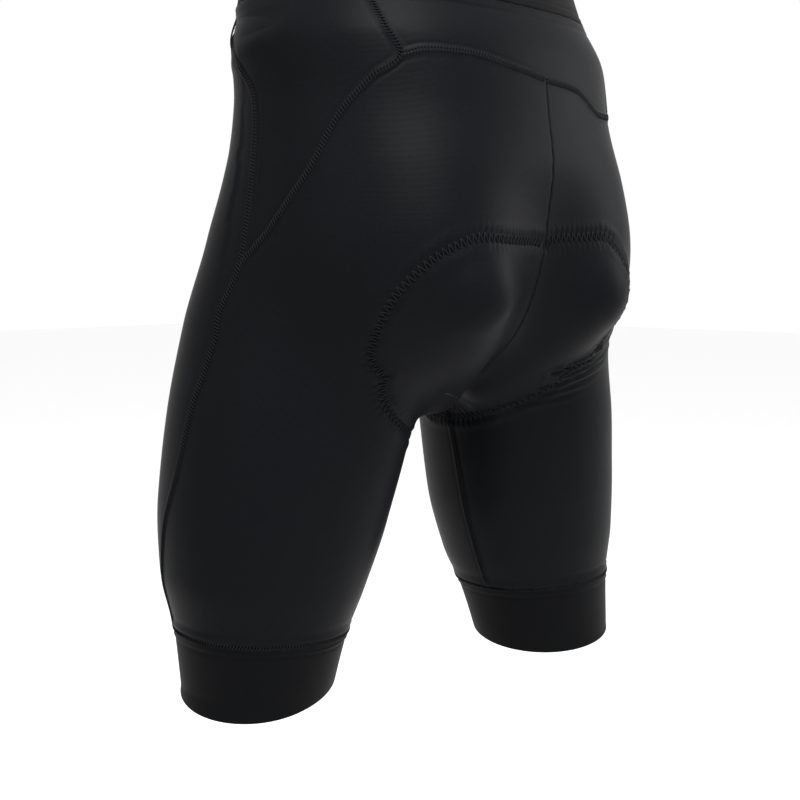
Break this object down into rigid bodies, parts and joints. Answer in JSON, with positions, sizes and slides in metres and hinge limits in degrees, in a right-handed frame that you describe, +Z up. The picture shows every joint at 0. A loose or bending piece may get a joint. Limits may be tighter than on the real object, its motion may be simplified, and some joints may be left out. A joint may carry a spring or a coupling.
{
  "type": "cycling shorts",
  "caption": "Close-fitting cycling shorts in worn form: shaped seat and side panels, a waistband, open legs with wide elastic bands, and seat pad relief.",
  "frame": {"origin": "middle of the waist opening at the top edge of the waistband, where the wearer holds the garment up", "axes": "+Z up, the front of the garment faces -Y, the wearer's left is +X"},
  "size_m": [0.3875, 0.2465, 0.5137],
  "materials": {
    "knit": "smooth black stretch knit with a soft sheen",
    "elastic": "matt black elastic"
  },
  "bodies": {
    "root": {"waistband": "elastic", "back_yoke": "knit", "back_left": "knit", "back_right": "knit", "side_left": "knit", "side_right": "knit", "front_left": "knit", "front_right": "knit", "band_left": "elastic", "band_right": "elastic"}
  },
  "joints": []
}
